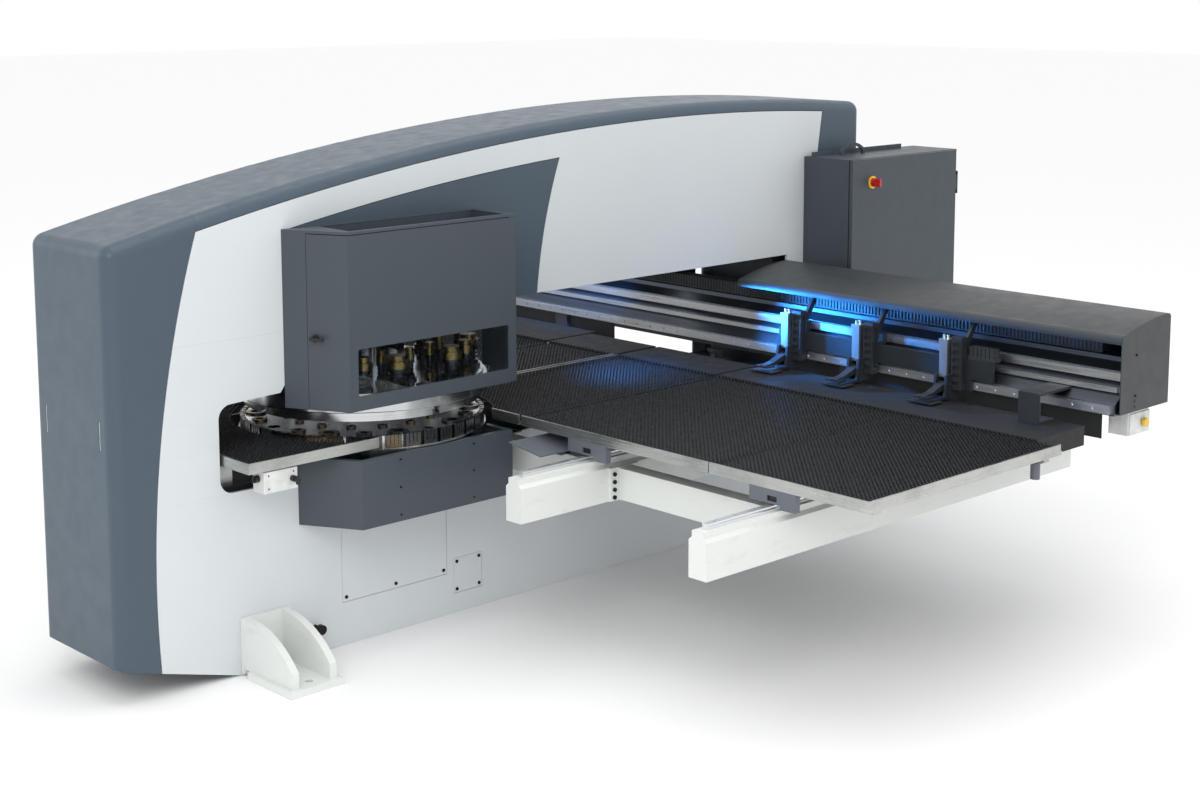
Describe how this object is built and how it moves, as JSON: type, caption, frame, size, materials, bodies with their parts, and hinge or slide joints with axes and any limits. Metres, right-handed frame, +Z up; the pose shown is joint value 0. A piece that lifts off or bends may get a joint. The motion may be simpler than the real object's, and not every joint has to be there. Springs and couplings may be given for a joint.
{
  "type": "turret punch press",
  "caption": "Numerically controlled turret punch press with an arched throat frame, tool turret, brush tables and a travelling clamp carriage under a hood.",
  "frame": {"origin": "on the floor straight below the punching axis, on the middle plane of the frame", "axes": "+X across the machine towards the right-hand tables, +Y along the frame to its rear column, +Z up"},
  "size_m": [5.12, 5.02, 2.2428],
  "materials": {
    "dark_cover": "satin",
    "light_panel": "satin",
    "guard_paint": "satin",
    "frame_paint": "satin",
    "white_paint": "satin",
    "cabinet_paint": "satin",
    "hood_paint": "satin",
    "grey_paint": "satin",
    "turret_steel": "ground",
    "tool_steel": "turned",
    "rail_steel": "ground",
    "bolt_steel": "blackened",
    "beam_aluminium": "satin",
    "edge_aluminium": "satin",
    "brush_board": "matt bristles",
    "clear_window": "clear polycarbonate",
    "black_plastic": "matt",
    "duct_grey": "matt",
    "clamp_steel": "painted",
    "cylinder_white": "anodised",
    "box_white": "textured",
    "switch_yellow": "gloss",
    "switch_red": "gloss",
    "estop_red": "gloss"
  },
  "bodies": {
    "machine_frame": {"main_frame": "frame_paint", "front_cover": "dark_cover", "top_cover": "dark_cover", "rear_cover": "dark_cover", "right_side_panel": "light_panel", "left_side_panel": "light_panel", "ram_covers": "dark_cover", "access_panels": "light_panel", "feet": "white_paint", "screws_and_bolts": "bolt_steel", "bearings": "grey_paint", "ram_cylinder": "grey_paint", "turret_guards": "guard_paint", "hinge_pins": "bolt_steel", "lower_guards": "guard_paint", "fixed_table_frames": "edge_aluminium", "fixed_brushes": "brush_board", "beams": "white_paint", "guide_rails": "rail_steel", "cross_beams": "white_paint", "chute_plates": "grey_paint", "hydraulic_unit": "grey_paint", "cabinet_shell": "cabinet_paint", "front_control_box": "box_white"},
    "turret": {"upper_turret": "turret_steel", "lower_turret": "turret_steel", "punch_holders": "tool_steel", "dies": "tool_steel"},
    "ram_body": {"ram": "rail_steel"},
    "guard_door_body": {"guard_door": "guard_paint", "guard_window": "clear_window"},
    "latch": {"guard_latch": "black_plastic"},
    "y_carriage": {"ball_blocks": "black_plastic", "table_brackets": "grey_paint", "carriage_beam": "beam_aluminium", "carriage_links": "hood_paint", "x_rails": "rail_steel", "cable_ducts": "duct_grey", "hood_ends": "hood_paint", "right_wing_frame": "edge_aluminium", "right_wing_brushes": "brush_board", "right_hood": "hood_paint", "left_wing_frame": "edge_aluminium", "left_wing_brushes": "brush_board", "left_hood": "hood_paint", "estop_box": "box_white"},
    "screw": {"y_screw": "rail_steel"},
    "x_carriage": {"x_saddle": "clamp_steel", "clamp_bodies": "clamp_steel", "clamp_cylinders": "cylinder_white", "valve_island": "duct_grey"},
    "jaw_inner": {"clamp_jaw_inner": "clamp_steel"},
    "jaw_middle": {"clamp_jaw_middle": "clamp_steel"},
    "jaw_outer": {"clamp_jaw_outer": "clamp_steel"},
    "cabinet_door_body": {"cabinet_door": "cabinet_paint", "main_switch_plate": "switch_yellow"},
    "main_switch": {"main_switch_knob": "switch_red"},
    "stop_button": {"estop_button": "estop_red"},
    "lever_a": {"control_lever_a": "black_plastic"},
    "lever_b": {"control_lever_b": "black_plastic"}
  },
  "joints": [
    {"name": "turret_index", "type": "hinge", "parent": "machine_frame", "child": "turret", "pos_m": [0, -0.475, 1], "axis": [0, 0, 1], "continuous": true},
    {"name": "ram_stroke", "type": "slide", "parent": "machine_frame", "child": "ram_body", "axis": [0, 0, -1], "range_m": [0, 0.037]},
    {"name": "guard_door_swing", "type": "hinge", "parent": "machine_frame", "child": "guard_door_body", "pos_m": [0.56, -0.076, 1.4], "axis": [0, 0, 1], "range_deg": [0, 100]},
    {"name": "guard_latch_turn", "type": "hinge", "parent": "guard_door_body", "child": "latch", "pos_m": [0.44397, -1.03252, 1.395], "axis": [0.4498, -0.8931, 0], "range_deg": [0, 90]},
    {"name": "y_travel", "type": "slide", "parent": "machine_frame", "child": "y_carriage", "axis": [0, 1, 0], "range_m": [-1.25, 0]},
    {"name": "y_screw_spin", "type": "hinge", "parent": "machine_frame", "child": "screw", "pos_m": [-0.09, 1, 0.836], "axis": [0, 1, 0], "continuous": true},
    {"name": "x_travel", "type": "slide", "parent": "y_carriage", "child": "x_carriage", "axis": [1, 0, 0], "range_m": [-2.8, 0.23]},
    {"name": "jaw_inner_close", "type": "hinge", "parent": "x_carriage", "child": "jaw_inner", "pos_m": [0.745, 1.56, 1.012], "axis": [1, 0, 0], "range_deg": [-8, 3]},
    {"name": "jaw_middle_close", "type": "hinge", "parent": "x_carriage", "child": "jaw_middle", "pos_m": [1.19, 1.56, 1.012], "axis": [1, 0, 0], "range_deg": [-8, 3]},
    {"name": "jaw_outer_close", "type": "hinge", "parent": "x_carriage", "child": "jaw_outer", "pos_m": [1.7, 1.56, 1.012], "axis": [1, 0, 0], "range_deg": [-8, 3]},
    {"name": "cabinet_door_swing", "type": "hinge", "parent": "machine_frame", "child": "cabinet_door_body", "pos_m": [0.626, 3.104, 1.3], "axis": [0, 0, 1], "range_deg": [0, 110]},
    {"name": "main_switch_turn", "type": "hinge", "parent": "cabinet_door_body", "child": "main_switch", "pos_m": [0.638, 2.354, 1.8], "axis": [1, 0, 0], "range_deg": [0, 90]},
    {"name": "stop_button_press", "type": "slide", "parent": "y_carriage", "child": "stop_button", "axis": [-1, 0, 0], "range_m": [0, 0.005]},
    {"name": "lever_a_turn", "type": "hinge", "parent": "machine_frame", "child": "lever_a", "pos_m": [0.452, -1.345, 0.862], "axis": [0, 1, 0], "range_deg": [-45, 45]},
    {"name": "lever_b_turn", "type": "hinge", "parent": "machine_frame", "child": "lever_b", "pos_m": [0.51, -1.196, 0.848], "axis": [1, 0, 0], "range_deg": [-45, 45]}
  ],
  "couplings": [
    {"joint": "y_screw_spin", "follows": "y_travel", "rad_per_m": 157.08},
    {"joint": "jaw_middle_close", "follows": "jaw_inner_close", "ratio": 1},
    {"joint": "jaw_outer_close", "follows": "jaw_inner_close", "ratio": 1}
  ]
}
